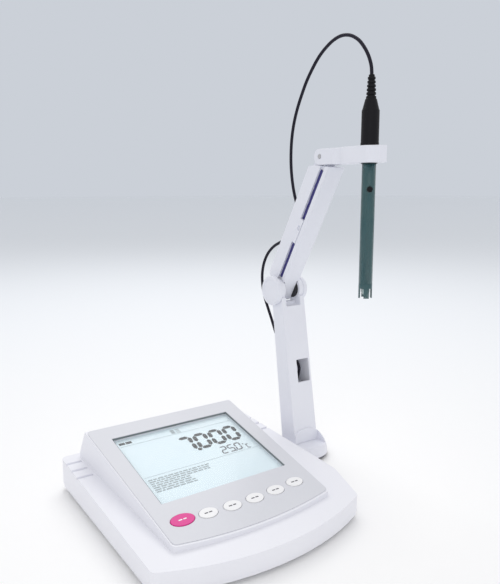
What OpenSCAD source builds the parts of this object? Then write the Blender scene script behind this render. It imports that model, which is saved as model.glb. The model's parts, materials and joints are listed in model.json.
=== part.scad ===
// Bench pH meter with a swivelling electrode arm, in millimetres.
// The part's origin is on the table, under the middle of the whole instrument.
// +X is to the right of a person at the keys, +Y points to the rear, +Z is up.

/* [Meter case] */
// Half width of the case at its rear edge
case_rear_w = 92; // [88:0.5:95]
// Half width of the case at its front corners
case_front_w = 94; // [90:0.5:97]
// How much further the right shoulder reaches out than the left one
case_flare = 17; // [0:1:18]
// Depth from the rear edge to the front corners
case_corner_d = 190.7; // [185:0.1:196]
// Depth from the rear edge to the middle of the bowed front
case_front_d = 212; // [208:0.5:216]
// Height of the shoulders at the rear edge
shoulder_rear_h = 29.6; // [27:0.1:32]
// Height of the shoulders at the front corners
shoulder_front_h = 20.6; // [18:0.1:22]
// Height of the underside above the table
ground_gap = 3.5; // [3.4:0.1:4]
// Wall thickness of the case
wall = 3; // [2.5:0.1:3.5]

/* [Control panel] */
// Depth of the panel's rear edge behind which the rear wall slopes down
panel_rear_d = 21.4; // [20:0.1:24]
// Height of the panel's rear edge
panel_rear_h = 57.8; // [55:0.1:60]
// Half width of the panel at its rear edge
panel_rear_w = 76.2; // [74:0.1:78]
// Half width of the panel at its front corners
panel_front_w = 72.2; // [70:0.1:74]
// Slope of the panel in degrees
panel_tilt = 11.34; // [11:0.01:11.6]
// Length of the panel along its slope, to the front corners
panel_len = 161.2; // [160:0.1:163]
// How far the panel's front edge bows forward
panel_bow = 8; // [6:0.1:9]
// Thickness of the panel overlay
overlay_t = 0.6; // [0.4:0.1:0.8]

/* [Display] */
// Width of the display window
display_w = 118.6; // [110:0.1:120]
// Length of the display window along the slope
display_l = 97.4; // [90:0.1:98]
// Distance from the panel's rear edge to the window
display_gap = 20.3; // [19:0.1:22]
// Depth of the window lens below the panel
display_recess = 2; // [1.5:0.1:2.2]

/* [Keys] */
// Spacing of the keys across the panel
key_pitch = 21; // [20.5:0.1:21.5]
// Size of the power key, across and along the panel
power_key = [19.5, 12.6]; // [18:0.1:20]
// Size of the other keys, across and along the panel
plain_key = [15.6, 11]; // [14:0.1:16]
// Height of the keys above the panel
key_rise = 0.5; // [0.5:0.1:0.8]

/* [Electrode arm] */
// Distance from the case's middle to the arm's middle plane
arm_x = 138; // [137:0.5:140]
// Radius of the swivel foot
foot_r = 25; // [23:0.5:25]
// Width of the lower arm
post_w = 29; // [28:0.5:29]
// Height of the elbow axis
elbow_h = 168.4; // [166:0.1:170]
// Lean of the upper arm from the vertical, in degrees
arm_lean = 29.7; // [28:0.1:30]
// Width of the upper arm
arm_w = 20; // [19:0.5:20]
// Depth of the upper arm
arm_d = 25; // [24:0.5:25]
// Distance along the upper arm from the elbow to the holder's pin
arm_reach = 144; // [143:0.5:145]

/* [Electrode] */
// Radius of the electrode's body
electrode_r = 6; // [5.8:0.1:6]
// Height of the electrode's tip above the table
electrode_tip_h = 175.4; // [174:0.1:178]
// Radius of a spare probe's hole in the holder
probe_hole_r = 3.05; // [2.5:0.05:3.1]

/* [Electrode lead] */
// Diameter of the electrode's lead
lead_d = 3; // [2.6:0.1:3]

/* [Hidden] */
// The case's middle is left of the part's origin, and its rear edge behind it
case_x = -34.5;
case_y = 101;
$fn = 64;

// heights of the case's layers
cover_top = ground_gap + 3;
shoulder_slope = (shoulder_rear_h - shoulder_front_h) / case_corner_d;
panel_front_bow = panel_len + panel_bow;

// the stack below the panel, as depths along its normal
lens_t = 1.2;
glass_top = -3.6;
glass_t = 2.4;
light_t = 3;
pad_top = -9;
board_top = -10.2;
board_t = 1.6;
board_w = 66;
board_l = 158;

// keys
key_first_x = -53.2;
key_arc = 0.001;
key_row_d = 161.5;
key_gap = 0.3;
key_flange = 1;
key_count = 6;

// shoulder grooves
groove_at = [16, 30.5, 44.5];
groove_w = 3.4;
groove_depth = 2;

// the swivel's axis, the elbow's axis and the holder's pin
swivel_y = -66.6;
elbow_y = -35;
pin_r = 2;
pin_back = 12.6;
bolt_r = 3;
run = 0.05;
plate_bottom = 1.5;
swivel_pin_r = 5;
foot_bottom = 3.9;
post_bottom = 14;

// the fork at the top of the lower arm
ear_r = 12;
fork_w = 18;
tongue_w = 15.4;
neck_w = 12.4;
washer_t = 1;

// the electrode's axis, and the holder's body
electrode_y = -148.5;
holder_bottom = 292.2;
holder_h = 14.2;
bushing_r = 7;
cap_bottom = holder_bottom + holder_h;
cap_h = 38.6;
probe_hole_back = 14.5;
probe_hole_side = -5.4;
pin_h = 299.7;
pin_y = -95.4;

// rear sockets
bnc_x = 55;
bnc_h = 17;
bnc_r = 4.8;
jack_x = 30;
inlet_x = -60;

// the lead's routes, from the electrode to the arm, past the elbow, down the
// lower arm, out to the coil, and from the coil to the plug
upper_route = [
    [138, -148.5, 364], [138, -147.5, 372], [138, -144, 380.5], [138, -138.5, 388.5],
    [138, -131.5, 395.5], [138, -122, 400.8], [138, -111.5, 402.8], [138, -101, 401.2],
    [138, -90.5, 396.5], [138, -81, 390], [138, -72.5, 381.5], [138, -64, 371],
    [138, -57, 359.5], [138, -50.5, 347], [138, -45.5, 333.5], [138, -42.5, 319],
    [138, -41.5, 303], [138, -42.5, 287.5], [138, -45.5, 272.5], [138, -50, 259.5], [138, -56, 248.5]
];
arm_route = [[138, -56.4, 247.6], [138, -57.5, 243], [138, -53.2, 235.5], [138, -48.5, 227.4], [138, -41.8, 223.2]];
elbow_route = [
    [138, -41, 222.7], [138, -34.5, 219.5], [138, -25.5, 216.3], [138, -14, 211],
    [138, -4, 203], [138, 3, 192.5], [138, 6.3, 180.5], [138, 5.8, 168],
    [138, 2, 155.5], [138, -4.5, 143.5], [137.5, -12, 132], [136.8, -19.5, 120.5],
    [136.2, -27.5, 110.5], [136, -36.5, 104]
];
post_route = [
    [136, -36.5, 104], [137, -45, 101], [139.5, -52, 95.5], [141, -54.8, 89],
    [140, -55.5, 83], [137.5, -56, 76], [135.5, -56.5, 66], [135.5, -56, 52],
    [137, -54, 40], [138, -51.6, 30.2]
];
rear_route = [
    [138, -49.9, 28.9], [138, -43.5, 24], [138, -38.5, 14.5], [136.5, -35, 6.5],
    [131, -32, 2], [122, -27.5, 1.6], [112, -21.5, 1.6], [102, -14, 1.6],
    [94, -5, 1.6], [91, 6, 1.6], [90.5, 18, 1.6], [91.5, 30, 1.6]
];
coil_at = [73.5, 34];
coil_r = 16.5;
coil_w = 6.4;
coil_h = 6;
plug_route = [
    [69, 51.5, 6.5], [63, 51, 10], [58.5, 48, 13.5], [56, 43, 16],
    [55, 38, 17], [55, 33.5, 17]
];

// ---- shared shapes ----

function arc(x, y, r, from, to, n) =
    [for (i = [0:n]) let (a = from + (to - from) * i / n) [x + r * cos(a), y + r * sin(a)]];

function ellipse(w, l, n = 40) = [for (i = [0:n - 1]) [w / 2 * cos(360 * i / n), l / 2 * sin(360 * i / n)]];

function shoulder(y) = shoulder_rear_h + shoulder_slope * y;

// A plan outline with straight sides, round corners and a bowed front.
// The depths are negative, and inset moves the whole outline inwards. With a
// flare the right side runs out to that much more than the left one.
function bowed(rear_y, rear_w, front_y, front_w, front_most, corner, inset, flare = 0) =
    let (
        bow = front_y - front_most,
        r = (front_w * front_w + bow * bow) / (2 * bow),
        mid = front_most + r,
        rf = r - inset,
        w0 = rear_w - inset - corner,
        w1 = front_w - inset - corner,
        yc = mid - sqrt((rf - corner) * (rf - corner) - w1 * w1),
        low = atan2(mid - yc, w1),
        turn = atan(flare / 50)
    )
    concat(
        arc(w0 + flare, rear_y - inset - corner, corner, 0, 90, 5),
        arc(-w0, rear_y - inset - corner, corner, 90, 180, 5),
        arc(-w1, yc, corner, 180, 180 + low, 5),
        arc(0, mid, rf, 180 + low + 1, 360 - low - 1, 14),
        arc(w1, yc, corner, 360 - low, 360 - turn, 5),
        flare > 0 ? [[w1 + corner + 0.8 * flare, yc + 40]] : []
    );

module in_part() { translate([case_x, case_y, 0]) children(); }

// Extrudes a (y, z) profile along X
module along_x(from, to) { translate([from, 0, 0]) rotate([90, 0, 90]) linear_extrude(to - from) children(); }

// A cylinder along X with its axis at (y, z)
module rod_x(from, to, y, z, r) { translate([from, y, z]) rotate([0, 90, 0]) cylinder(h = to - from, r = r); }

// The panel's own frame: z is its normal, y runs down the slope towards the front as it falls
module on_panel() { translate([0, -panel_rear_d, panel_rear_h]) rotate([panel_tilt, 0, 0]) children(); }

// The upper arm's own frame: z runs along the arm, y is towards its rear face
module on_arm() { translate([arm_x, elbow_y, elbow_h]) rotate([arm_lean, 0, 0]) children(); }

module case_plan(inset) {
    polygon(bowed(0, case_rear_w, -case_corner_d, case_front_w, -case_front_d, 5 - inset / 2, inset, case_flare));
}

module case_body(inset, floor) {
    top = -inset;
    intersection() {
        translate([0, 0, floor]) linear_extrude(60) case_plan(inset);
        along_x(-116, 116) polygon([
            [10, floor], [10, shoulder(10) + top], [-220, shoulder(-220) + top], [-220, floor]
        ]);
    }
}

module console_body(inset, floor) {
    top = -overlay_t - inset;
    rise = tan(panel_tilt);
    back = -panel_rear_d - inset * 0.6;
    back_z = panel_rear_h + top / cos(panel_tilt) - inset * 0.6 * rise;
    intersection() {
        translate([0, 0, floor]) linear_extrude(80)
            polygon(bowed(-4, panel_rear_w + 0.4, -179.5, panel_front_w, -187.5, 4 - inset / 2, inset));
        along_x(-116, 116) polygon([
            [-4 - inset, floor], [-4 - inset, 28], [back, back_z],
            [-220, back_z + (-220 - back) * rise], [-220, floor]
        ]);
    }
}

module key_places() {
    for (i = [0:key_count - 1]) key_place(i) children();
}

module key_place(i) {
    x = key_first_x + key_pitch * i;
    y = -(key_row_d - key_arc * x * x - panel_rear_d) / cos(panel_tilt);
    on_panel() translate([x, y, 0]) children();
}

function key_size(i) = i == 0 ? power_key : plain_key;

module key_holes() {
    for (i = [0:key_count - 1])
        key_place(i) translate([0, 0, -8]) linear_extrude(12)
            polygon(ellipse(key_size(i)[0] + 2 * key_gap, key_size(i)[1] + 2 * key_gap));
}

module key_cap(i, tint) {
    size = key_size(i);
    in_part() color(tint) key_place(i) {
        translate([0, 0, -4]) linear_extrude(4 + key_rise) polygon(ellipse(size[0], size[1]));
        translate([0, 0, -5]) linear_extrude(1)
            polygon(ellipse(size[0] + 2 * key_flange, size[1] + 2 * key_flange));
        translate([0, 0, -8.2]) cylinder(h = 4, r = 2.5);
    }
}

module display_hole(extra, from, to) {
    on_panel() translate([-display_w / 2 - extra, -display_gap - display_l - extra, from])
        cube([display_w + 2 * extra, display_l + 2 * extra, to - from]);
}

// A round tube swept along its route's points
module lead(route) {
    n = len(route);
    sides = 8;
    dirs = [for (i = [0:n - 1]) unit(route[min(i + 1, n - 1)] - route[max(i - 1, 0)])];
    rings = [for (i = [0:n - 1])
        let (side = unit(cross(dirs[i], ring_hint(dirs[i]))), up = cross(side, dirs[i]))
        for (k = [0:sides - 1])
            route[i] + lead_d / 2 * (side * cos(360 * k / sides) + up * sin(360 * k / sides))
    ];
    faces = concat(
        [[for (k = [0:sides - 1]) k]],
        [for (i = [0:n - 2]) for (k = [0:sides - 1])
            let (a = i * sides + k, b = i * sides + (k + 1) % sides) [a, a + sides, b + sides]],
        [for (i = [0:n - 2]) for (k = [0:sides - 1])
            let (a = i * sides + k, b = i * sides + (k + 1) % sides) [a, b + sides, b]],
        [[for (k = [sides - 1:-1:0]) (n - 1) * sides + k]]
    );
    polyhedron(points = rings, faces = faces, convexity = 8);
}

function unit(v) = v / norm(v);
function ring_hint(d) = abs(d[0]) > 0.8 ? [0, 0.2, 1] : [1, 0, 0.001];

// A smooth curve through the route's points, with two rings for each step
function smooth(p) = [
    for (i = [0:len(p) - 2])
        let (a = p[max(i - 1, 0)], b = p[i], c = p[i + 1], d = p[min(i + 2, len(p) - 1)])
        for (t = [0, 0.5])
            b + (c - a) / 2 * t + (a - 2.5 * b + 2 * c - d / 2) * t * t
                + (1.5 * b - a / 2 - 1.5 * c + d / 2) * t * t * t,
    p[len(p) - 1]
];

// ---- meter ----

module bottom_cover() {
    in_part() color("gainsboro") difference() {
        union() {
            translate([0, 0, ground_gap]) linear_extrude(cover_top - ground_gap) case_plan(0.5);
            translate([0, 0, cover_top - 1]) linear_extrude(3.5) difference() {
                case_plan(wall + 0.3);
                case_plan(wall + 2);
            }
        }
        case_screw_places() {
            cylinder(h = 20, r = 1.7);
            cylinder(h = 5.2, r = 3);
            translate([0, 0, cover_top]) cylinder(h = 10, r = 4.3);
        }
        bracket_screw_places() cylinder(h = 8, r = 1.5);
    }
}

module case_screw_places() {
    for (x = [-82, 82], y = [-14, -172]) translate([x, y, 0]) children();
}

module bracket_screw_places() {
    for (p = [[60, -57], [60, -76], [84, -66.5]]) translate([p[0], p[1], 0]) children();
}

module top_housing() {
    in_part() color("ghostwhite") difference() {
        union() {
            difference() {
                union() {
                    case_body(0, cover_top);
                    console_body(0, cover_top);
                }
                case_body(wall, cover_top - 5);
                console_body(wall, cover_top - 5);
            }
            for (x = [-82, 82], y = [-14, -172]) translate([x, y, cover_top])
                cylinder(h = shoulder(y) - cover_top - 1, r = 4);
            for (x = [-60, 60], y = [-10, -154])
                on_panel() translate([x, y, board_top]) cylinder(h = -board_top - 2, r = 3);
        }
        case_screw_places() cylinder(h = 15, r = 1.5);
        for (x = [-60, 60], y = [-10, -154])
            on_panel() translate([x, y, board_top - 1]) cylinder(h = 6, r = 1.1);
        display_hole(0, -12, 5);
        key_holes();
        for (x = [-97, 78.5], d = groove_at)
            translate([x, -d - groove_w / 2, shoulder(-d) - groove_depth])
                cube([x < 0 ? 18.5 : 36, groove_w, 10]);
        translate([bnc_x, 0, bnc_h]) rotate([90, 0, 0]) cylinder(h = 20, r = 5, center = true);
        translate([jack_x, 0, bnc_h]) rotate([90, 0, 0]) cylinder(h = 20, r = 3, center = true);
        translate([inlet_x - 4.5, -10, bnc_h - 5]) cube([9, 20, 10]);
    }
}

module control_panel() {
    in_part() color("lavender") difference() {
        on_panel() translate([0, 0, -overlay_t]) linear_extrude(overlay_t)
            polygon(bowed(-1.2, panel_rear_w - 1, 1.2 - panel_len, panel_front_w - 1,
                          1.6 - panel_front_bow, 4, 0));
        display_hole(0, -12, 5);
        key_holes();
    }
}

module lcd_window() { in_part() color("azure", 0.5) display_hole(-0.1, -display_recess - lens_t, -display_recess); }

module lcd_glass() { in_part() color("lightblue") display_hole(1.5, glass_top - glass_t, glass_top); }

module lcd_frame() {
    in_part() color("silver") difference() {
        display_hole(4, glass_top - glass_t - light_t - 0.2, glass_top - 0.1);
        display_hole(1.7, -20, 5);
    }
}

module backlight() { in_part() color("white") display_hole(1.5, glass_top - glass_t - light_t - 0.2, glass_top - glass_t - 0.2); }

module key_pad() {
    in_part() color("dimgray") on_panel() translate([-64, -151, board_top]) cube([128, 22, pad_top - board_top]);
}

module main_board() {
    in_part() color("darkgreen") difference() {
        on_panel() translate([-board_w, -board_l, board_top - board_t]) cube([2 * board_w, board_l - 5, board_t]);
        for (x = [-60, 60], y = [-10, -154])
            on_panel() translate([x, y, board_top - 3]) cylinder(h = 6, r = 1.3);
    }
}

module board_screws() {
    in_part() color("silver") for (x = [-60, 60], y = [-10, -154]) on_panel() {
        translate([x, y, board_top - board_t]) cylinder(h = 5.5, r = 1.05);
        translate([x, y, board_top - board_t - 1.5]) cylinder(h = 1.5, r = 2.4);
    }
}

module case_screws() {
    in_part() color("silver") case_screw_places() difference() {
        union() {
            translate([0, 0, 4]) cylinder(h = 1.2, r = 2.8);
            translate([0, 0, 5]) cylinder(h = 8, r = 1.45);
        }
        translate([-2, -0.4, 3.9]) cube([4, 0.8, 0.7]);
        translate([-0.4, -2, 3.9]) cube([0.8, 4, 0.7]);
    }
}

module rubber_feet() {
    in_part() color("dimgray") for (p = [[70, -20], [-70, -20], [70, -182], [-70, -182]])
        translate([p[0], p[1], 0]) cylinder(h = ground_gap, r1 = 6.5, r2 = 7.5);
}

module power_key_cap() { key_cap(0, "deeppink"); }
module key_2() { key_cap(1, "white"); }
module key_3() { key_cap(2, "white"); }
module key_4() { key_cap(3, "white"); }
module key_5() { key_cap(4, "white"); }
module key_6() { key_cap(5, "white"); }

module to_rear(x, from) { translate([x, from, bnc_h]) rotate([-90, 0, 0]) children(); }

module bnc_socket() {
    in_part() color("silver") {
        difference() {
            union() {
                to_rear(bnc_x, -12) cylinder(h = 22, r = bnc_r);
                to_rear(bnc_x, 0) cylinder(h = 1.2, r = 7);
                to_rear(bnc_x, -wall - 2) cylinder(h = 2, r = 6.5, $fn = 6);
                to_rear(bnc_x, 6.5) rotate([90, 0, 0]) cylinder(h = 11.6, r = 1, center = true);
            }
            to_rear(bnc_x, 2) cylinder(h = 9, r = 3.8);
        }
        to_rear(bnc_x, 1.5) cylinder(h = 7, r = 0.7);
    }
}

module temperature_jack() {
    in_part() color("dimgray") difference() {
        union() {
            to_rear(jack_x, -10) cylinder(h = 12.5, r = 2.95);
            to_rear(jack_x, 0) cylinder(h = 2, r = 4.6);
        }
        to_rear(jack_x, -6) cylinder(h = 10, r = 1.8);
    }
}

module power_inlet() {
    in_part() color("black") {
        difference() {
            translate([inlet_x - 4.4, -12, bnc_h - 4.9]) cube([8.8, 12.6, 9.8]);
            to_rear(inlet_x, -9) cylinder(h = 12, r = 3.2);
        }
        to_rear(inlet_x, -9.5) cylinder(h = 9, r = 1);
    }
}

// ---- bracket and swivel ----

module at_swivel(z = 0) { translate([arm_x, swivel_y, z]) children(); }

module mounting_bracket() {
    in_part() color("dimgray") difference() {
        translate([0, 0, plate_bottom]) union() {
            translate([45, swivel_y - 17.5, 0]) cube([arm_x - 45, 35, ground_gap - plate_bottom]);
            at_swivel() cylinder(h = ground_gap - plate_bottom, r = foot_r - 1);
        }
        at_swivel(-1) cylinder(h = 10, r = swivel_pin_r);
        bracket_screw_places() cylinder(h = 8, r = 1.6);
    }
}

module bracket_screws() {
    in_part() color("silver") bracket_screw_places() {
        translate([0, 0, plate_bottom]) cylinder(h = 4.6, r = 1.45);
        translate([0, 0, plate_bottom - 0.8]) cylinder(h = 0.8, r = 3);
    }
}

module bracket_pad() { in_part() color("black") at_swivel() cylinder(h = plate_bottom, r = 20); }

module swivel_pin() {
    in_part() color("silver") at_swivel(plate_bottom) cylinder(h = 11.5, r = swivel_pin_r);
}

module swivel_washer() {
    in_part() color("white") at_swivel(ground_gap) difference() {
        cylinder(h = 1, r = 9);
        translate([0, 0, -1]) cylinder(h = 3, r = swivel_pin_r + run);
    }
}

// ---- lower arm, on the swivel ----

module post_profile(inset, floor, top) {
    front = function (z) -72.1 + 0.168 * (z - 13.7) + inset;
    back = function (z) -52 + 0.1325 * z - inset;
    polygon([[front(floor), floor], [back(floor), floor], [back(top), top], [front(top), top]]);
}

module post_solid() {
    along_x(arm_x - post_w / 2, arm_x + post_w / 2) post_profile(0, post_bottom, 162);
    rod_x(arm_x - post_w / 2, arm_x + post_w / 2, elbow_y, elbow_h, ear_r);
}

module swivel_foot() {
    in_part() color("ghostwhite") difference() {
        at_swivel(foot_bottom) intersection() {
            sphere(r = foot_r, $fn = 96);
            cylinder(h = foot_r + 1, r = foot_r + 1);
        }
        at_swivel() cylinder(h = 13.2, r = swivel_pin_r + run);
        at_swivel() cylinder(h = 4.9, r = 9.4);
        along_x(arm_x - post_w / 2, arm_x + post_w / 2) post_profile(0, post_bottom, 60);
        translate([arm_x - 40, -112, post_bottom]) cube([40 + post_w / 2, 40, 30]);
        translate([arm_x - 40, -112, post_bottom]) cube([40 - post_w / 2, 90, 30]);
    }
}

module lower_arm() {
    half = post_w / 2;
    in_part() color("ghostwhite") difference() {
        post_solid();
        along_x(arm_x - half + 2.2, arm_x + half - 2.2) post_profile(2.4, 30, 146);
        along_x(arm_x - half + 2.2, arm_x + half - 2.2) translate([4, 0]) post_profile(0, 22, 140);
        translate([arm_x - 3, -75, 75]) cube([15.3, 26, 23]);
        rod_x(arm_x - fork_w / 2, arm_x + fork_w / 2, elbow_y, elbow_h, ear_r + 1);
        translate([arm_x - fork_w / 2, -90, elbow_h - 6]) cube([fork_w, 90, 30]);
        translate([arm_x - fork_w / 2, -90, 153]) cube([fork_w, 50, 12]);
        rod_x(arm_x - 30, arm_x + 30, elbow_y, elbow_h, bolt_r);
    }
}

module lower_arm_cover() {
    half = post_w / 2 - 2.4;
    in_part() color("lavender") difference() {
        along_x(arm_x - half, arm_x + half) difference() {
            post_profile(0, 22.4, 139.6);
            translate([-2, 0]) post_profile(0, 20, 145);
        }
        translate([arm_x - 8, -60, 92]) cube([12, 40, 26]);
        translate([arm_x - 4, -60, 20]) cube([8, 40, 14]);
    }
}

module elbow_bolt() {
    in_part() color("silver") rod_x(arm_x - 18.5, arm_x + 17, elbow_y, elbow_h, bolt_r - 0.01);
}

module elbow_cap() {
    in_part() color("ghostwhite") difference() {
        union() {
            rod_x(arm_x + post_w / 2, arm_x + post_w / 2 + 4, elbow_y, elbow_h, 12.5);
            rod_x(arm_x + post_w / 2 + 4, arm_x + post_w / 2 + 5, elbow_y, elbow_h, 11.5);
        }
        rod_x(arm_x, arm_x + 17.1, elbow_y, elbow_h, bolt_r);
    }
}

module friction_washers() {
    in_part() color("white") for (x = [-fork_w / 2 + 0.02, fork_w / 2 - washer_t - 0.02])
        difference() {
            rod_x(arm_x + x, arm_x + x + washer_t, elbow_y, elbow_h, 9);
            rod_x(arm_x - 30, arm_x + 30, elbow_y, elbow_h, bolt_r);
        }
}

module elbow_knob() {
    left = arm_x - 20;
    in_part() color("ghostwhite") difference() {
        union() {
            rod_x(left, left + 5.2, elbow_y, elbow_h, 14.3);
            rod_x(left + 0.8, left + 4.6, elbow_y, elbow_h, 15);
        }
        rod_x(left - 1, left + 0.7, elbow_y, elbow_h, 11.5);
        rod_x(left + 1.3, left + 6, elbow_y, elbow_h, bolt_r + run);
    }
}

// ---- upper arm ----

module upper_arm() {
    front = -3.5;
    rear = front + arm_d;
    in_part() color("ghostwhite") on_arm() difference() {
        union() {
            difference() {
                along_x(-arm_w / 2, arm_w / 2) polygon([
                    [front, 6], [front, arm_reach - 2.1], [pin_back, arm_reach - 9.1],
                    [rear, arm_reach - 14.2], [rear, 8], [15.5, 1], [10, 1]
                ]);
                rod_x(-20, 20, 0, 0, ear_r + 0.7);
            }
            intersection() {
                rod_x(-tongue_w / 2, tongue_w / 2, 0, 0, ear_r);
                translate([-10, front, -15]) cube([20, 20, 30]);
            }
            along_x(-tongue_w / 2, tongue_w / 2) polygon([[front, 0], [11.9, 0], [13, 20], [front, 20]]);
            along_x(-neck_w / 2, neck_w / 2) polygon([
                [5.6, 125], [5.6, arm_reach], [19.6, arm_reach], [19.6, 125]
            ]);
            rod_x(-neck_w / 2, neck_w / 2, pin_back, arm_reach, 7.2);
        }
        rod_x(-20, 20, 0, 0, bolt_r + run);
        rod_x(-20, 20, pin_back, arm_reach, pin_r);
        for (side = [-1, 1]) translate([side * arm_w / 2 - 3, 1, 8]) cube([6, 5.6, 140]);
        translate([-2.3, 14.5, 42]) cube([4.6, 10, 46]);
    }
}

module groove_inserts() {
    in_part() color("midnightblue") on_arm() for (x = [-arm_w / 2 + 2.2, arm_w / 2 - 3])
        translate([x, 1.02, 13.1]) cube([0.8, 5.56, 121]);
}

module arm_cable_clip() {
    in_part() color("white") on_arm() difference() {
        translate([-arm_w / 2 - 0.6, 1.4, 56]) cube([2.7, 4.8, 26]);
        translate([-arm_w / 2 - 1, 2.2, 70]) cube([2, 3.2, 5]);
    }
}

module holder_pin() {
    in_part() color("silver") on_arm() {
        rod_x(-arm_w / 2 - 0.3, arm_w / 2 + 0.3, pin_back, arm_reach, pin_r - 0.01);
    }
}

// ---- holder and electrode ----

module at_electrode(z = 0) { translate([arm_x, electrode_y, z]) children(); }

module electrode_holder() {
    side = [
        [10, 53.1], [10, 37], [9.3, 35], [8.1, 32.5], [7.5, 29.5], [8.2, 26.2], [10.2, 23.4],
        [10.9, 19], [10.9, -5], [10.3, -7.4], [8.2, -8.6], [6.2, -11], [5, -14], [4.5, -16]
    ];
    last = len(side) - 1;
    outline = concat(side, [for (i = [last:-1:0]) [-side[i][0], side[i][1]]]);
    in_part() color("ghostwhite") difference() {
        union() {
            at_electrode(holder_bottom) linear_extrude(holder_h) polygon(outline);
            intersection() {
                rod_x(arm_x - 10, arm_x + 10, pin_y, pin_h, 7.5);
                translate([arm_x - 15, pin_y - 10, holder_bottom]) cube([30, 30, holder_h]);
            }
        }
        translate([arm_x - neck_w / 2 - 0.4, pin_y - 14.5, holder_bottom - 5]) cube([neck_w + 0.8, 30, 30]);
        at_electrode(200) cylinder(h = 200, r = bushing_r);
        at_electrode(200) translate([probe_hole_side, probe_hole_back, 0]) cylinder(h = 200, r = probe_hole_r);
        rod_x(arm_x - 20, arm_x + 20, pin_y, pin_h, pin_r + run);
    }
}

module grip_bushing() {
    in_part() color("dimgray") at_electrode(holder_bottom - 0.6) difference() {
        cylinder(h = holder_h + 0.5, r = bushing_r - 0.02);
        translate([0, 0, -1]) cylinder(h = 30, r = electrode_r + 0.02);
    }
}

module electrode_body() {
    in_part() color("darkslategray", 0.6) difference() {
        at_electrode(electrode_tip_h + 13) cylinder(h = cap_bottom - electrode_tip_h - 13, r = electrode_r);
        at_electrode(electrode_tip_h + 14.5) cylinder(h = cap_bottom - electrode_tip_h - 20, r = electrode_r - 1.1);
        at_electrode(electrode_tip_h + 10) cylinder(h = 10, r = 2.52);
        at_electrode(270) rotate([90, 0, -35]) cylinder(h = 20, r = 1.5);
    }
}

// Four prongs round the bulb, joined by a ring
module electrode_guard() {
    in_part() color("darkslategray", 0.6) at_electrode(electrode_tip_h) difference() {
        cylinder(h = 13, r = electrode_r);
        translate([0, 0, -1]) cylinder(h = 20, r = electrode_r - 1.1);
        for (a = [0, 90]) rotate([0, 0, a + 10]) translate([-10, -2.2, -1]) cube([20, 4.4, 9.5]);
    }
}

module inner_tube() {
    in_part() color("azure", 0.5) difference() {
        at_electrode(electrode_tip_h + 10) cylinder(h = 112, r = 2.5);
        at_electrode(electrode_tip_h + 8) cylinder(h = 112, r = 1.7);
    }
}

module glass_bulb() {
    in_part() color("azure", 0.5) at_electrode(electrode_tip_h + 6.4) difference() {
        sphere(r = 4);
        sphere(r = 3.5);
        cylinder(h = 10, r = 2.52);
    }
}

module electrode_cap() {
    in_part() color("black") at_electrode(cap_bottom) rotate_extrude() polygon([
        [0, 0], [7.8, 0], [7.8, 2.2], [7.6, 3], [7.5, cap_h - 9.6], [6.9, cap_h - 8.2], [4.8, cap_h], [0, cap_h]
    ]);
}

module strain_relief() {
    bottom = cap_bottom + cap_h;
    in_part() color("black") at_electrode(bottom) difference() {
        rotate_extrude() polygon(concat(
            [[0, 0], [4.3, 0]],
            [for (i = [0:5]) each [
                [4.3 - 0.2 * i, 0.3 + 3.1 * i], [4.25 - 0.2 * i, 2 + 3.1 * i],
                [3.3 - 0.15 * i, 2.2 + 3.1 * i], [3.25 - 0.15 * i, 3.1 + 3.1 * i]
            ]],
            [[2.4, 19.5], [0, 19.5]]
        ));
        translate([0, 0, 18.5]) cylinder(h = 5, r = lead_d / 2 + 0.3);
    }
}

module refill_plug() {
    in_part() color("black") at_electrode(270) rotate([90, 0, -35]) translate([0, 0, electrode_r - 1]) {
        cylinder(h = 1.2, r = 1.45);
        translate([0, 0, 1.2]) cylinder(h = 1, r = 2.5);
    }
}

// ---- electrode lead ----

module lead_upper() { in_part() color("black") lead(smooth(upper_route)); }
module lead_in_arm() { in_part() color("black") lead(arm_route); }
module lead_elbow() { in_part() color("black") lead(smooth(elbow_route)); }
module lead_in_post() { in_part() color("black") lead(post_route); }
module lead_rear() { in_part() color("black") lead(rear_route); }

module lead_coil() {
    in_part() color("black") translate([coil_at[0], coil_at[1], 0]) rotate_extrude()
        translate([coil_r - coil_w / 2, 0]) square([coil_w, coil_h]);
}

module coil_tie() {
    in_part() color("dimgray") translate([coil_at[0], coil_at[1] + coil_r, 0]) difference() {
        translate([-2, -coil_w / 2 - 0.6, 0.05]) cube([4, coil_w + 1.2, coil_h + 0.6]);
        translate([-3, -coil_w / 2 - 0.15, -1]) cube([6, coil_w + 0.3, coil_h + 1.1]);
    }
}

module lead_to_plug() { in_part() color("black") lead(plug_route); }

module bnc_plug() {
    in_part() color("silver") difference() {
        union() {
            to_rear(bnc_x, 1.5) cylinder(h = 14, r = 7.2);
            to_rear(bnc_x, 15.5) cylinder(h = 10, r = 4.6);
            to_rear(bnc_x, 25.5) cylinder(h = 8.5, r1 = 4, r2 = 2.4);
        }
        to_rear(bnc_x, 0) cylinder(h = 10.6, r = 5.9);
    }
}

bottom_cover();
top_housing();
control_panel();
lcd_window();
lcd_glass();
lcd_frame();
backlight();
key_pad();
main_board();
board_screws();
case_screws();
rubber_feet();
power_key_cap();
key_2();
key_3();
key_4();
key_5();
key_6();
bnc_socket();
temperature_jack();
power_inlet();
mounting_bracket();
bracket_screws();
bracket_pad();
swivel_pin();
swivel_washer();
swivel_foot();
lower_arm();
lower_arm_cover();
elbow_bolt();
elbow_cap();
friction_washers();
elbow_knob();
upper_arm();
groove_inserts();
arm_cable_clip();
holder_pin();
electrode_holder();
grip_bushing();
electrode_body();
electrode_guard();
inner_tube();
glass_bulb();
electrode_cap();
strain_relief();
refill_plug();
lead_upper();
lead_in_arm();
lead_elbow();
lead_in_post();
lead_rear();
lead_coil();
coil_tie();
lead_to_plug();
bnc_plug();
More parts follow.
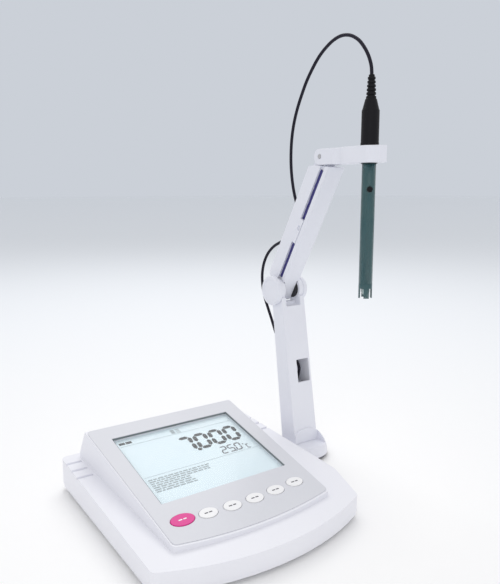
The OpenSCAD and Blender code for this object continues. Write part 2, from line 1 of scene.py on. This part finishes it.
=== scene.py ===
"""Looks of a bench pH meter with a swivelling electrode arm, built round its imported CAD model.

Lengths below are in millimetres and measured from the middle of the meter's case, with y = 0
at its rear edge and z = 0 on the table. at() turns such a point into the part's frame in metres.
"""

import json
import math
import random

import bpy
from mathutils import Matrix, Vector
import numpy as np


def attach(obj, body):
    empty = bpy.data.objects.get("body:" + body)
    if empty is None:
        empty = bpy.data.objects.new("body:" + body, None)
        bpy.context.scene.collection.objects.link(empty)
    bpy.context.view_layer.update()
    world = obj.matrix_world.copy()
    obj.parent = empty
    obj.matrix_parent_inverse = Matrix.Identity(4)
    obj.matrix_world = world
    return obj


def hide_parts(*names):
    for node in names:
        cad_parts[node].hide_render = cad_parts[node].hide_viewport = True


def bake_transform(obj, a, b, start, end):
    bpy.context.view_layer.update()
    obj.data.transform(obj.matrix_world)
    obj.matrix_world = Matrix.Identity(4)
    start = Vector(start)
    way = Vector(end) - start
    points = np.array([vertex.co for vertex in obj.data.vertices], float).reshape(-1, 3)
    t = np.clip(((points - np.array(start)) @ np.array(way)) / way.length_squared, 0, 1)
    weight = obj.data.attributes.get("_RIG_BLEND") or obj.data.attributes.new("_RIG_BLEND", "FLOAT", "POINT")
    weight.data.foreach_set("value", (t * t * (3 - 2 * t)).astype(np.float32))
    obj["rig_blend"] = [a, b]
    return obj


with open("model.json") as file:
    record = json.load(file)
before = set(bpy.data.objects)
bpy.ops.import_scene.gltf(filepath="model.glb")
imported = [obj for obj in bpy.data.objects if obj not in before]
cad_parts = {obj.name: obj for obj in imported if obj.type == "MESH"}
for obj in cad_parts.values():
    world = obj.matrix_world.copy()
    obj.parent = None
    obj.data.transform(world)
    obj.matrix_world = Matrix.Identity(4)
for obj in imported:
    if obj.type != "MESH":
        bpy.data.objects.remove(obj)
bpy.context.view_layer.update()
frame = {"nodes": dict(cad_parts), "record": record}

MM = 0.001
CASE_MIDDLE = Vector((-34.5, 101.0, 0.0))
PANEL_TILT = math.radians(11.34)
PANEL_TOP = Vector((0.0, -21.4, 57.8))
LEAD_RADIUS = 1.5

# the camera's place, its pitch below the horizon and its turn to the right
CAMERA_PLACE = (-249.9, -528.3, 267.8)
CAMERA_PITCH = 9.3
CAMERA_TURN = 34.8
CAMERA_LENS = 37.68

BACKDROP = (0.597, 0.631, 0.686, 1)
ROOM_WHITE = (0.99, 0.99, 1.0, 1)
ROOM_LIGHT = 0.80

# the floor's painted pool of light follows FLOOR_FALL / (distance + FLOOR_NEAR), in metres, up to FLOOR_WHITE
FLOOR_FALL = 0.268
FLOOR_NEAR = 0.51
FLOOR_WHITE = 0.39
# painted light: a bright tone near the object and a dimmer grey blue far off
FLOOR_PAINTED_DIM_TONE = (0.72, 0.765, 0.825, 1)
FLOOR_PAINTED_LIT_TONE = (0.98, 0.98, 0.98, 1)

# the row of keys: the first key's place, their spacing, and the row's bow towards the rear
KEY_BODIES = ["power_key_cap", "key_2", "key_3", "key_4", "key_5", "key_6"]
KEY_FIRST = -53.2
KEY_PITCH = 21
KEY_ROW = 140.1
KEY_ARC = 0.001


def at(x, y, z):
    """A point in the part's frame, in metres."""
    return (Vector((x, y, z)) + CASE_MIDDLE) * MM


def on_panel(x, along, height):
    """A point given across the panel, up its slope from the rear edge, and along its normal."""
    up = Vector((0, math.cos(PANEL_TILT), math.sin(PANEL_TILT)))
    normal = Vector((0, -math.sin(PANEL_TILT), math.cos(PANEL_TILT)))
    return (PANEL_TOP + Vector((x, 0, 0)) + up * along + normal * height + CASE_MIDDLE) * MM


# ---- camera, floor and light ----

def add_camera():
    data = bpy.data.cameras.new("camera")
    data.lens = CAMERA_LENS
    data.sensor_width = 36
    data.clip_start = 0.01
    camera = bpy.data.objects.new("camera", data)
    camera.location = at(*CAMERA_PLACE)
    camera.rotation_euler = (math.radians(90 - CAMERA_PITCH), 0, math.radians(-CAMERA_TURN))
    bpy.context.scene.collection.objects.link(camera)
    bpy.context.scene.camera = camera


def add_area(name, place, aim, size, power, colour=(1, 1, 1)):
    data = bpy.data.lights.new(name, "AREA")
    data.shape = "DISK"
    data.size = size
    data.energy = power
    data.color = colour
    lamp = bpy.data.objects.new(name, data)
    lamp.location = place
    lamp.rotation_euler = (Vector(aim) - Vector(place)).to_track_quat("-Z", "Y").to_euler()
    bpy.context.scene.collection.objects.link(lamp)


def add_world():
    """A plain pale backdrop for the eye, and a whiter room for the light."""
    world = bpy.data.worlds.new("studio")
    bpy.context.scene.world = world
    world.use_nodes = True
    tree = world.node_tree
    tree.nodes.clear()
    out = tree.nodes.new("ShaderNodeOutputWorld")
    seen = tree.nodes.new("ShaderNodeBackground")
    seen.inputs[0].default_value = BACKDROP
    room = tree.nodes.new("ShaderNodeBackground")
    room.inputs[0].default_value = ROOM_WHITE
    room.inputs[1].default_value = ROOM_LIGHT
    ray = tree.nodes.new("ShaderNodeLightPath")
    mix = tree.nodes.new("ShaderNodeMixShader")
    tree.links.new(ray.outputs["Is Camera Ray"], mix.inputs[0])
    tree.links.new(room.outputs[0], mix.inputs[1])
    tree.links.new(seen.outputs[0], mix.inputs[2])
    tree.links.new(mix.outputs[0], out.inputs[0])


def add_floor():
    """A pale floor with a painted pool of light: white round the object and fading to the backdrop's grey
    blue far off.
    """
    size = 30.0
    mesh = bpy.data.meshes.new("floor")
    mesh.from_pydata([(-size, -size, 0), (size, -size, 0), (size, size, 0), (-size, size, 0)], [],
                     [(0, 1, 2, 3)])
    floor = bpy.data.objects.new("floor", mesh)
    bpy.context.scene.collection.objects.link(floor)
    material = bpy.data.materials.new("floor")
    material.use_nodes = True
    tree = material.node_tree
    shader = tree.nodes["Principled BSDF"]
    shader.inputs["Roughness"].default_value = 0.9
    shader.inputs["Specular IOR Level"].default_value = 0.1
    coord = tree.nodes.new("ShaderNodeTexCoord")
    length = tree.nodes.new("ShaderNodeVectorMath")
    length.operation = "LENGTH"
    offset = tree.nodes.new("ShaderNodeMath")
    offset.inputs[1].default_value = FLOOR_NEAR
    inverse = tree.nodes.new("ShaderNodeMath")
    inverse.operation = "DIVIDE"
    inverse.inputs[0].default_value = FLOOR_FALL
    spread = tree.nodes.new("ShaderNodeMapRange")
    spread.inputs["From Max"].default_value = FLOOR_WHITE
    mix = tree.nodes.new("ShaderNodeValToRGB")
    # painted pool of light: the floor's colour goes from the dim tone far off to the lit tone near the object
    mix.color_ramp.elements[0].color = FLOOR_PAINTED_DIM_TONE
    mix.color_ramp.elements[1].color = FLOOR_PAINTED_LIT_TONE
    tree.links.new(coord.outputs["Object"], length.inputs[0])
    tree.links.new(length.outputs["Value"], offset.inputs[0])
    tree.links.new(offset.outputs[0], inverse.inputs[1])
    tree.links.new(inverse.outputs[0], spread.inputs["Value"])
    tree.links.new(spread.outputs["Result"], mix.inputs[0])
    tree.links.new(mix.outputs[0], shader.inputs["Base Color"])
    mesh.materials.append(material)


# ---- materials ----

def new_material(name, colour, rough, metallic=0.0, specular=0.5):
    material = bpy.data.materials.new(name)
    material.use_nodes = True
    shader = material.node_tree.nodes["Principled BSDF"]
    shader.inputs["Base Color"].default_value = (*colour, 1)
    shader.inputs["Roughness"].default_value = rough
    shader.inputs["Metallic"].default_value = metallic
    shader.inputs["Specular IOR Level"].default_value = specular
    return material


def grain(material, colour, shade, rough, rough_more, size, bump, cloud=14.0):
    """Fine moulded grain: a bump of that size, cloudy colour between two tones, and uneven gloss."""
    tree = material.node_tree
    shader = tree.nodes["Principled BSDF"]
    coord = tree.nodes.new("ShaderNodeTexCoord")
    fine = tree.nodes.new("ShaderNodeTexNoise")
    fine.inputs["Scale"].default_value = 1 / (size * MM)
    fine.inputs["Detail"].default_value = 3
    broad = tree.nodes.new("ShaderNodeTexNoise")
    broad.inputs["Scale"].default_value = cloud
    broad.inputs["Detail"].default_value = 4
    tones = tree.nodes.new("ShaderNodeValToRGB")
    tones.color_ramp.elements[0].position = 0.35
    tones.color_ramp.elements[0].color = (*colour, 1)
    tones.color_ramp.elements[1].position = 0.7
    tones.color_ramp.elements[1].color = (*shade, 1)
    gloss = tree.nodes.new("ShaderNodeMapRange")
    gloss.inputs["To Min"].default_value = rough
    gloss.inputs["To Max"].default_value = rough_more
    relief = tree.nodes.new("ShaderNodeBump")
    relief.inputs["Strength"].default_value = bump
    relief.inputs["Distance"].default_value = 0.02 * MM
    link = tree.links.new
    link(coord.outputs["Object"], fine.inputs["Vector"])
    link(coord.outputs["Object"], broad.inputs["Vector"])
    link(broad.outputs["Fac"], tones.inputs[0])
    link(tones.outputs[0], shader.inputs["Base Color"])
    link(fine.outputs["Fac"], gloss.inputs["Value"])
    link(gloss.outputs["Result"], shader.inputs["Roughness"])
    link(fine.outputs["Fac"], relief.inputs["Height"])
    link(relief.outputs["Normal"], shader.inputs["Normal"])
    return material


def plastic(name, colour, shade, rough=0.38, size=0.35, bump=0.25, specular=0.4):
    material = new_material(name, colour, rough, specular=specular)
    return grain(material, colour, shade, rough, rough + 0.14, size, bump)


def brushed(name, colour, rough=0.28):
    material = new_material(name, colour, rough, metallic=1.0)
    darker = tuple(c * 0.82 for c in colour)
    return grain(material, colour, darker, rough, rough + 0.18, 0.15, 0.3, cloud=90.0)


def clear(name, colour, rough=0.03, alpha=0.2):
    material = new_material(name, colour, rough, specular=0.5)
    material.node_tree.nodes["Principled BSDF"].inputs["Alpha"].default_value = alpha
    return material


SHELL = plastic("shell_plastic", (0.86, 0.865, 0.915), (0.84, 0.845, 0.90))
ARM = plastic("arm_plastic", (0.83, 0.84, 0.90), (0.80, 0.81, 0.88))
FILM = plastic("overlay_film", (0.68, 0.69, 0.735), (0.66, 0.67, 0.72), rough=0.3, size=0.12, bump=0.12)
CRYSTAL = plastic("liquid_crystal", (0.74, 0.875, 0.935), (0.79, 0.905, 0.95), rough=0.25, size=0.2,
                  bump=0.03)
GASKET = plastic("window_gasket", (0.17, 0.20, 0.21), (0.21, 0.24, 0.25), rough=0.6, size=0.2, bump=0.2)
INK = plastic("display_ink", (0.022, 0.026, 0.03), (0.03, 0.035, 0.04), rough=0.4, size=0.1, bump=0.05)
PALE_INK = plastic("display_pale_ink", (0.36, 0.43, 0.46), (0.40, 0.47, 0.50), rough=0.4, size=0.1, bump=0.05)
MARK = plastic("key_print", (0.10, 0.10, 0.12), (0.13, 0.13, 0.15), rough=0.5, size=0.1, bump=0.05)
WHITE_KEY = plastic("white_key", (0.90, 0.90, 0.91), (0.87, 0.87, 0.885), rough=0.33, size=0.15, bump=0.15)
PINK_KEY = plastic("power_key", (0.75, 0.035, 0.29), (0.68, 0.028, 0.25), rough=0.33, size=0.15, bump=0.15)
BLACK = plastic("black_plastic", (0.006, 0.006, 0.008), (0.009, 0.009, 0.012), rough=0.42, size=0.3, bump=0.3,
                specular=0.18)
# painted shade: a dark blue stands in for the shadow inside the arm's grooves
GROOVE_PAINTED_SHADE = plastic("groove_blue", (0.035, 0.032, 0.17), (0.05, 0.045, 0.21), rough=0.4)
RUBBER = plastic("foot_rubber", (0.03, 0.03, 0.034), (0.045, 0.045, 0.05), rough=0.7, size=0.4, bump=0.5)
SILICONE = plastic("key_silicone", (0.35, 0.36, 0.38), (0.40, 0.41, 0.43), rough=0.6)
BOARD = plastic("circuit_board", (0.02, 0.13, 0.06), (0.03, 0.18, 0.08), rough=0.35)
POWDER = plastic("powder_coat", (0.12, 0.12, 0.14), (0.16, 0.16, 0.18), rough=0.5, size=0.5, bump=0.6)
JACKET = plastic("lead_jacket", (0.010, 0.009, 0.018), (0.015, 0.013, 0.026), rough=0.5, size=0.4, bump=0.3,
                 specular=0.2)
STEEL = brushed("nickel_plate", (0.62, 0.62, 0.63))
GUIDE = plastic("light_guide", (0.86, 0.88, 0.86), (0.82, 0.84, 0.82))
LENS = clear("window_lens", (0.95, 0.98, 1.0), 0.04, 0.06)
GLASS = clear("electrode_glass", (0.80, 0.90, 0.90), 0.03, 0.35)
SMOKE = clear("smoky_body", (0.045, 0.115, 0.125), 0.10, 0.78)

FINISHES = {
    "case_shell": SHELL, "panel_film": FILM, "window_lens": LENS, "lcd": CRYSTAL,
    "tin_plate": STEEL, "light_guide": GUIDE, "key_silicone": SILICONE, "circuit_board": BOARD,
    "foot_rubber": RUBBER, "white_key": WHITE_KEY, "power_key": PINK_KEY,
    "black_plastic": BLACK, "bracket_steel": POWDER, "arm_plastic": ARM,
    "cover_plastic": ARM, "groove_blue": GROOVE_PAINTED_SHADE, "smoky_body": SMOKE, "clear_glass": GLASS,
    "lead_jacket": JACKET,
}

# the width of the rounded edge of each moulded or turned node, in millimetres
EDGES = {
    "top_housing": 0.7, "bottom_cover": 0.5, "control_panel": 0.2, "lower_arm": 1.0,
    "upper_arm": 1.0, "electrode_holder": 0.8, "elbow_knob": 0.5, "elbow_cap": 0.6,
    "swivel_foot": 0.4, "lower_arm_cover": 0.3, "power_key_cap": 0.45, "key_2": 0.45,
    "key_3": 0.45, "key_4": 0.45, "key_5": 0.45, "key_6": 0.45, "arm_cable_clip": 0.3,
    "rubber_feet": 0.4, "mounting_bracket": 0.3, "electrode_cap": 0.4, "electrode_guard": 0.2,
    "grip_bushing": 0.2, "temperature_jack": 0.2, "power_inlet": 0.2, "bnc_plug": 0.3,
    "bnc_socket": 0.2, "holder_pin": 0.3, "strain_relief": 0.15, "refill_plug": 0.2,
}


def finish_nodes():
    """Gives each CAD node its material and its rounded edges."""
    slots = {s["node"]: s["material_slot"] for s in frame["record"]["subparts"]}
    for name, node in frame["nodes"].items():
        node.data.materials.clear()
        node.data.materials.append(FINISHES[slots[name]])
        soften(node, EDGES.get(name, 0.0))


def soften(piece, width):
    """Rounds the sharp edges of a piece and shades it smoothly."""
    for attribute in [a.name for a in piece.data.attributes if a.name == "custom_normal"]:
        piece.data.attributes.remove(piece.data.attributes[attribute])
    for edge in piece.data.edges:
        edge.use_edge_sharp = False
    for face in piece.data.polygons:
        face.use_smooth = True
    weld = piece.modifiers.new("weld", "WELD")
    weld.merge_threshold = 0.005 * MM
    flat = piece.modifiers.new("flat", "DECIMATE")
    flat.decimate_type = "DISSOLVE"
    flat.angle_limit = math.radians(0.6)
    if width:
        bevel = piece.modifiers.new("round", "BEVEL")
        bevel.width = width * MM
        bevel.segments = 3
        bevel.limit_method = "ANGLE"
        bevel.angle_limit = math.radians(32)
        bevel.harden_normals = False
        bevel.miter_outer = "MITER_ARC"
    sharp = piece.modifiers.new("normals", "WEIGHTED_NORMAL")
    sharp.keep_sharp = True


# ---- mesh helpers ----

def add_mesh(name, verts, faces, material, body):
    mesh = bpy.data.meshes.new(name)
    mesh.from_pydata([tuple(v) for v in verts], [], faces)
    mesh.materials.append(material)
    piece = bpy.data.objects.new(name, mesh)
    bpy.context.scene.collection.objects.link(piece)
    if body:
        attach(piece, body)
    return piece


def smooth_route(route, steps):
    """A smooth curve through the route's points, with that many steps between two of them."""
    points = [Vector(p) for p in route]
    last = len(points) - 1
    curve = []
    for i in range(last):
        a, b, c, d = points[max(i - 1, 0)], points[i], points[i + 1], points[min(i + 2, last)]
        for k in range(steps):
            t = k / steps
            curve.append(b + (c - a) / 2 * t + (a - 2.5 * b + 2 * c - d / 2) * t * t
                         + (1.5 * b - a / 2 - 1.5 * c + d / 2) * t ** 3)
    curve.append(points[last])
    return curve


def tube(name, curve, radius, material, body=None, sides=16):
    """A closed round tube along a curve of points in millimetres. Returns it and its path."""
    path = [at(*p) for p in curve]
    verts, faces = [], []
    side = Vector((1, 0, 0.001))
    last = len(path) - 1
    for i, point in enumerate(path):
        ahead = (path[min(i + 1, last)] - path[max(i - 1, 0)]).normalized()
        side = (side - ahead * side.dot(ahead)).normalized()
        up = side.cross(ahead)
        for k in range(sides):
            turn = 2 * math.pi * k / sides
            verts.append(point + (side * math.cos(turn) + up * math.sin(turn)) * radius * MM)
    for i in range(last):
        for k in range(sides):
            a, b = i * sides + k, i * sides + (k + 1) % sides
            faces.append((a, b, b + sides, a + sides))
    faces.append(tuple(range(sides - 1, -1, -1)))
    faces.append(tuple(last * sides + k for k in range(sides)))
    piece = add_mesh(name, verts, faces, material, body)
    for face in piece.data.polygons:
        face.use_smooth = len(face.vertices) == 4
    return piece, path


# ---- electrode lead ----

UPPER_ROUTE = [
    (138, -148.5, 364), (138, -147.5, 372), (138, -144, 380.5), (138, -138.5, 388.5),
    (138, -131.5, 395.5), (138, -122, 400.8), (138, -111.5, 402.8), (138, -101, 401.2),
    (138, -90.5, 396.5), (138, -81, 390), (138, -72.5, 381.5), (138, -64, 371),
    (138, -57, 359.5), (138, -50.5, 347), (138, -45.5, 333.5), (138, -42.5, 319),
    (138, -41.5, 303), (138, -42.5, 287.5), (138, -45.5, 272.5), (138, -50, 259.5), (138, -56, 248.5),
]
ARM_ROUTE = [(138, -56.4, 247.6), (138, -57.5, 243), (138, -53.2, 235.5), (138, -48.5, 227.4),
             (138, -41.8, 223.2)]
ELBOW_ROUTE = [
    (138, -41, 222.7), (138, -34.5, 219.5), (138, -25.5, 216.3), (138, -14, 211),
    (138, -4, 203), (138, 3, 192.5), (138, 6.3, 180.5), (138, 5.8, 168),
    (138, 2, 155.5), (138, -4.5, 143.5), (137.5, -12, 132), (136.8, -19.5, 120.5),
    (136.2, -27.5, 110.5), (136, -36.5, 104),
]
POST_ROUTE = [
    (136, -36.5, 104), (137, -45, 101), (139.5, -52, 95.5), (141, -54.8, 89),
    (140, -55.5, 83), (137.5, -56, 76), (135.5, -56.5, 66), (135.5, -56, 52),
    (137, -54, 40), (138, -51.6, 30.2),
]
REAR_ROUTE = [
    (138, -49.9, 28.9), (138, -43.5, 24), (138, -38.5, 14.5), (136.5, -35, 6.5),
    (131, -32, 2), (122, -27.5, 1.6), (112, -21.5, 1.6), (102, -14, 1.6),
    (94, -5, 1.6), (91, 6, 1.6), (90.5, 18, 1.6), (91.5, 30, 1.6),
]
PLUG_ROUTE = [
    (69, 51.5, 6.5), (63, 51, 10), (58.5, 48, 13.5), (56, 43, 16), (55, 38, 17), (55, 33.5, 17),
]
COIL_MIDDLE = (73.5, 34.0)
COIL_RADIUS = 16.5


def coil_turns():
    """Two turns side by side on the table, and one and a quarter lying on them."""
    points = []
    per_turn = 48
    for i in range(1, int(per_turn * 3.2) + 1):
        turn = i / per_turn
        if turn < 1.9:
            radius = COIL_RADIUS + 1.6 - 3.2 * smooth_step((turn - 0.8) / 0.4)
            height = 1.6
        else:
            lift = smooth_step((turn - 1.9) / 0.4)
            radius = COIL_RADIUS - 1.6 + 1.6 * lift
            height = 1.6 + 2.9 * lift
        angle = 2 * math.pi * turn
        points.append((COIL_MIDDLE[0] + radius * math.cos(angle),
                       COIL_MIDDLE[1] + radius * math.sin(angle), height))
    return points


def smooth_step(t):
    t = min(max(t, 0.0), 1.0)
    return t * t * (3 - 2 * t)


def add_leads():
    upper, path = tube("electrode_lead_upper", smooth_route(UPPER_ROUTE, 5), LEAD_RADIUS, JACKET)
    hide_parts("lead_upper")
    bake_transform(upper, "holder", "upper_arm", start=path[4], end=path[-4])

    in_arm, _ = tube("electrode_lead_in_arm", smooth_route(ARM_ROUTE, 5), LEAD_RADIUS, JACKET, "upper_arm")
    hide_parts("lead_in_arm")

    elbow, path = tube("electrode_lead_elbow", smooth_route(ELBOW_ROUTE, 5), LEAD_RADIUS, JACKET)
    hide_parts("lead_elbow")
    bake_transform(elbow, "upper_arm", "lower_arm", start=path[4], end=path[-4])

    in_post, _ = tube("electrode_lead_in_post", smooth_route(POST_ROUTE, 5), LEAD_RADIUS, JACKET, "lower_arm")
    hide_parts("lead_in_post")

    run = smooth_route(REAR_ROUTE, 5) + [(91.6, 32, 1.6)] + coil_turns() + smooth_route(PLUG_ROUTE, 5)
    rear, path = tube("electrode_lead_rear", run, LEAD_RADIUS, JACKET)
    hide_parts("lead_rear", "lead_coil", "lead_to_plug")
    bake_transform(rear, "lower_arm", "base", start=path[2], end=at(102, -14, 1.6))


# ---- display ----

# the lit bars of a seven-segment digit, from the top clockwise and then the middle
DIGITS = {"0": "abcdef", "2": "abged", "5": "afgcd", "7": "abc"}
# heights along the panel's normal: of the ink on the liquid crystal and of the keys' tops
DISPLAY_TOP = -3.55
KEY_RISE = 0.51
INK_THICK = 0.06


def bar(x0, y0, x1, y1, width, slant, left, bottom):
    """The outline of one pointed segment bar, leaning by slant."""
    along = Vector((x1 - x0, y1 - y0)).normalized()
    side = Vector((-along.y, along.x)) * width / 2
    a, b = Vector((x0, y0)), Vector((x1, y1))
    tip = along * width / 2
    points = [a, a + tip - side, b - tip - side, b, b - tip + side, a + tip + side]
    return [(left + p.x + slant * p.y, bottom + p.y) for p in points]


def digit_bars(symbol, left, bottom, w, h, width):
    gap = width * 0.12
    half = h / 2
    ends = {
        "a": (gap, h, w - gap, h), "b": (w, half + gap, w, h - gap), "c": (w, gap, w, half - gap),
        "d": (gap, 0, w - gap, 0), "e": (0, gap, 0, half - gap), "f": (0, half + gap, 0, h - gap),
        "g": (gap, half, w - gap, half),
    }
    return [bar(*ends[s], width, 0.1, left, bottom) for s in DIGITS[symbol]]


def joined(name, outlines, height, thick, material):
    """Several plates as one piece."""
    verts, faces = [], []
    for outline in outlines:
        n, first = len(outline), len(verts)
        verts += [on_panel(x, y, height + h) for h in (0, thick) for x, y in outline]
        faces.append(tuple(first + i for i in range(n - 1, -1, -1)))
        faces.append(tuple(first + n + i for i in range(n)))
        faces += [(first + i, first + (i + 1) % n, first + n + (i + 1) % n, first + n + i)
                  for i in range(n)]
    piece = add_mesh(name, verts, faces, material, "base")
    return piece


def block(x0, y0, x1, y1):
    return [(x0, y0), (x1, y0), (x1, y1), (x0, y1)]


def disc(x, y, r, n=20):
    return [(x + r * math.cos(2 * math.pi * i / n), y + r * math.sin(2 * math.pi * i / n))
            for i in range(n)]


def add_display():
    big = []
    for i, symbol in enumerate("7000"):
        big += digit_bars(symbol, -6 + 15.6 * i, -60.5, 10.4, 20, 3.9)
    big.append(disc(7.0, -61.5, 2.1))
    joined("reading_digits", big, DISPLAY_TOP, INK_THICK, INK)

    small = []
    for i, symbol in enumerate("250"):
        small += digit_bars(symbol, 23 + 7.4 * i, -76.5, 5.0, 9.6, 1.3)
    small.append(disc(36.1, -76.8, 0.8))
    small += [disc(46.5, -70.5, 0.7), block(48.2, -77.5, 49, -72), block(48.2, -72.6, 51, -71.8),
              block(48.2, -78, 51, -77.2)]
    joined("temperature_digits", small, DISPLAY_TOP, INK_THICK, MARK)

    marks = [block(-55, -28.4, -49.6, -25.2), block(-48.8, -28.4, -43.2, -25.2)]
    joined("mode_marks", marks, DISPLAY_TOP, INK_THICK, INK)

    pale = [block(-55, -31.3, 57, -31.0), block(-55, -79.6, 57, -79.3), block(-4.5, -30, -0.8, -24),
            block(0.6, -30, 4.6, -28.8), block(0.6, -27.6, 4.6, -26.4), block(0.6, -25.2, 4.6, -24)]
    rng = random.Random(7)
    for row in range(7):
        y = -83 - 2.6 * row
        x = -54.0
        end = -20 if row > 2 else 2
        while x < end:
            w = rng.uniform(2.2, 6.5)
            pale.append(block(x, y - 1.5, min(x + w, end + 3), y))
            x += w + 1.0
    joined("note_lines", pale, DISPLAY_TOP, INK_THICK, PALE_INK)


def add_gasket():
    """A thin dark seal round the display window, along the foot of its recess."""
    left, right, rear, front = -59.3, 59.3, -20.3, -117.7
    t = 0.5
    strips = [block(left, rear - t, right, rear), block(right - t, front, right, rear - t),
              block(left, front, left + t, rear - t)]
    joined("window_gasket", strips, -1.95, 1.5, GASKET)


def add_key_marks():
    """A short generic print on each key, riding on the key."""
    for i, body in enumerate(KEY_BODIES):
        x = KEY_FIRST + KEY_PITCH * i
        y = -(KEY_ROW - KEY_ARC * x * x) / math.cos(PANEL_TILT)
        material = WHITE_KEY if i == 0 else MARK
        verts, faces = [], []
        left = block(x - 3.4, y - 0.55, x - 0.4, y + 0.55)
        right = block(x + 0.5, y - 0.55, x + 3.2, y + 0.55)
        for outline in (left, right):
            first = len(verts)
            verts += [on_panel(px, py, KEY_RISE + h) for h in (0, 0.04) for px, py in outline]
            faces += [tuple(first + k for k in (3, 2, 1, 0)), tuple(first + k for k in (4, 5, 6, 7))]
            faces += [(first + k, first + (k + 1) % 4, first + 4 + (k + 1) % 4, first + 4 + k)
                      for k in range(4)]
        piece = add_mesh("print_" + body, verts, faces, material, body)


add_camera()
add_leads()
add_world()
add_floor()
add_area("key_light", (0.5, 0.9, 1.6), (0, 0, 0.1), 1.3, 9)
add_area("fill_light", (-0.9, -1.2, 0.9), (0, 0, 0.15), 1.5, 2.5)
finish_nodes()
add_display()
add_gasket()
add_key_marks()

bpy.context.scene.view_settings.view_transform = "Standard"
